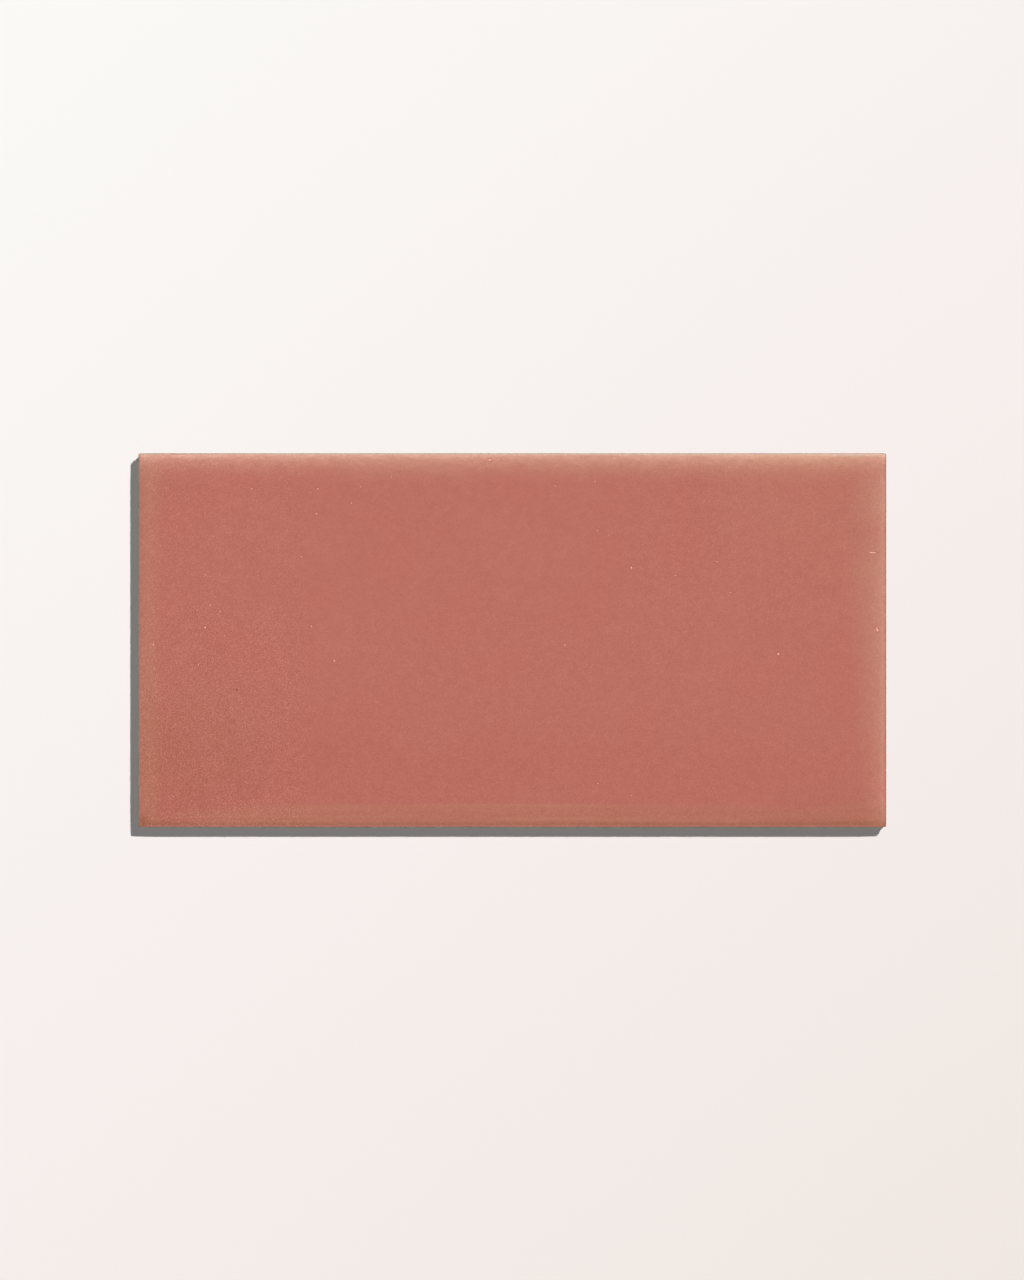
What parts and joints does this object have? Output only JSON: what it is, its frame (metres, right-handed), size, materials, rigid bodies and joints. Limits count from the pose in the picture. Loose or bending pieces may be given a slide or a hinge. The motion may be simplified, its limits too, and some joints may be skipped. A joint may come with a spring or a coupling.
{
  "type": "ceramic brick tile",
  "caption": "Flat rectangular glazed ceramic tile in brick format, twice as long as it is wide, with softly rolled-down edges and a grooved back for bonding.",
  "frame": {"origin": "centre of the back, in the plane that the tile lies on", "axes": "+X along the length, +Y across the width, +Z out of the glazed face"},
  "size_m": [0.15, 0.075, 0.009],
  "materials": {
    "glazed_clay": "satin terracotta-pink glaze that thins to peach over the rolled edges, on a buff fired clay body"
  },
  "bodies": {
    "root": {"brick_tile": "glazed_clay"}
  },
  "joints": []
}
